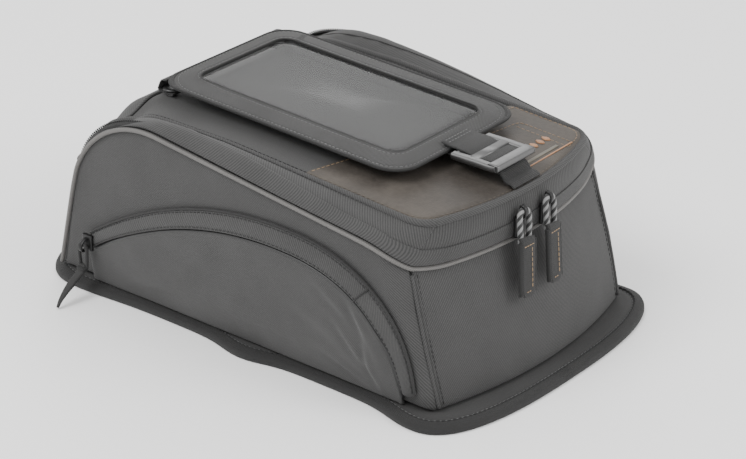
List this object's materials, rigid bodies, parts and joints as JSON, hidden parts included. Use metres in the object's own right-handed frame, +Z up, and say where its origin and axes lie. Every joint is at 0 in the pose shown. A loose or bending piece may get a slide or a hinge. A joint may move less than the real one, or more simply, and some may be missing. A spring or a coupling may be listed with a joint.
{
  "type": "motorcycle tank bag",
  "caption": "Low charcoal fabric motorcycle tank bag with a zipped clamshell lid, side pockets, a strapped see-through phone pocket and a soft magnetic base flange.",
  "frame": {"origin": "on the ground at the middle of the base flange", "axes": "+X to the rider's right, +Y forward, +Z up"},
  "size_m": [0.2708, 0.36, 0.1382],
  "materials": {
    "woven_fabric": "charcoal fine twill polyester",
    "pocket_fabric": "charcoal ripstop",
    "flange_fabric": "dark grey neoprene",
    "rubber_sheet": "fine ribbed non-slip",
    "binding": "woven binding tape",
    "board": "plain",
    "magnet": "nickel plated",
    "grey_piping": "light grey coated piping",
    "dark_piping": "dark piping",
    "zip_tape": "black zip tape",
    "leather": "greyish brown grained",
    "tan_leather": "tan strip",
    "stud_metal": "satin",
    "cap_plastic": "satin",
    "webbing": "dense woven webbing",
    "clear_film": "clear vinyl",
    "buckle_metal": "gun-metal satin",
    "slider_metal": "black satin",
    "striped_cord": "black and grey striped cord",
    "pull_cord": "black cord",
    "pull_tab": "webbing with tan stitching"
  },
  "bodies": {
    "body": {"grip_sheet": "rubber_sheet", "base_pad": "flange_fabric", "base_binding": "binding", "holding_magnets": "magnet", "floor_board": "board", "front_panel": "woven_fabric", "rear_panel": "woven_fabric", "left_side_panel": "woven_fabric", "right_side_panel": "woven_fabric", "left_piping": "grey_piping", "right_piping": "grey_piping", "rear_seam_piping": "dark_piping", "lower_zip_tape": "zip_tape", "left_rain_flap": "woven_fabric", "right_rain_flap": "woven_fabric"},
    "left_pocket": {"left_pocket_face": "woven_fabric"},
    "right_pocket": {"right_pocket_face": "woven_fabric"},
    "lid": {"upper_zip_tape": "zip_tape", "lid_panel": "woven_fabric", "lid_front_panel": "woven_fabric", "lid_stiffener": "board", "left_lid_band": "woven_fabric", "right_lid_band": "woven_fabric", "rear_lid_band": "woven_fabric", "leather_panel": "leather", "leather_badge": "tan_leather", "press_studs": "stud_metal", "press_stud_caps": "cap_plastic", "front_tabs": "webbing", "lid_strap": "webbing"},
    "phone_pocket": {"phone_pocket_back": "pocket_fabric", "phone_pocket_wall": "pocket_fabric", "phone_pocket_frame": "pocket_fabric", "phone_window": "clear_film", "phone_pocket_binding": "binding", "buckle_loop": "webbing"},
    "buckle": {"buckle": "buckle_metal", "strap_tail": "webbing"},
    "left_main_slider": {"left_main_slider": "slider_metal"},
    "right_main_slider": {"right_main_slider": "slider_metal"},
    "left_main_pull": {"left_main_pull_cord": "striped_cord", "left_main_pull_tab": "pull_tab"},
    "right_main_pull": {"right_main_pull_cord": "striped_cord", "right_main_pull_tab": "pull_tab"},
    "left_side_slider": {"left_side_slider": "slider_metal"},
    "right_side_slider": {"right_side_slider": "slider_metal"},
    "left_side_pull": {"left_side_pull_cord": "pull_cord", "left_side_pull_tab": "pull_tab"},
    "right_side_pull": {"right_side_pull_cord": "pull_cord", "right_side_pull_tab": "pull_tab"}
  },
  "joints": [
    {"name": "lid_open", "type": "hinge", "parent": "body", "child": "lid", "pos_m": [0, 0.14081, 0.08], "axis": [-1, 0, 0], "range_deg": [0, 100]},
    {"name": "phone_pocket_lift", "type": "hinge", "parent": "lid", "child": "phone_pocket", "pos_m": [0, 0.09923, 0.1382], "axis": [-1, 0, 0], "range_deg": [0, 80]},
    {"name": "buckle_flip", "type": "hinge", "parent": "phone_pocket", "child": "buckle", "pos_m": [0, -0.10043, 0.129], "axis": [-1, 0, 0], "range_deg": [0, 60]},
    {"name": "left_slider_run", "type": "hinge", "parent": "body", "child": "left_main_slider", "pos_m": [0, 0.087, 0.106], "axis": [0, 0, -1], "range_deg": [0, 10]},
    {"name": "right_slider_run", "type": "hinge", "parent": "body", "child": "right_main_slider", "pos_m": [0, 0.087, 0.106], "axis": [0, 0, 1], "range_deg": [0, 10]},
    {"name": "left_main_pull_swing", "type": "hinge", "parent": "left_main_slider", "child": "left_main_pull", "pos_m": [-0.01338, -0.14932, 0.106], "axis": [-0.9984, 0.0565, 0], "range_deg": [0, 120]},
    {"name": "right_main_pull_swing", "type": "hinge", "parent": "right_main_slider", "child": "right_main_pull", "pos_m": [0.01132, -0.14943, 0.106], "axis": [-0.9989, -0.0478, 0], "range_deg": [0, 120]},
    {"name": "left_pocket_open", "type": "hinge", "parent": "body", "child": "left_pocket", "pos_m": [-0.09933, 0, 0.0063], "axis": [0, -1, 0], "range_deg": [0, 6]},
    {"name": "right_pocket_open", "type": "hinge", "parent": "body", "child": "right_pocket", "pos_m": [0.09933, 0, 0.0063], "axis": [0, 1, 0], "range_deg": [0, 6]},
    {"name": "left_side_slider_run", "type": "slide", "parent": "left_pocket", "child": "left_side_slider", "axis": [-0.1412, -0.8331, 0.5348], "range_m": [0, 0.026]},
    {"name": "right_side_slider_run", "type": "slide", "parent": "right_pocket", "child": "right_side_slider", "axis": [0.1412, -0.8331, 0.5348], "range_m": [0, 0.026]},
    {"name": "left_side_pull_swing", "type": "hinge", "parent": "left_side_slider", "child": "left_side_pull", "pos_m": [-0.10937, 0.1205, 0.03397], "axis": [0, 1, 0], "range_deg": [0, 100]},
    {"name": "right_side_pull_swing", "type": "hinge", "parent": "right_side_slider", "child": "right_side_pull", "pos_m": [0.10937, 0.1205, 0.03397], "axis": [0, -1, 0], "range_deg": [0, 100]}
  ]
}
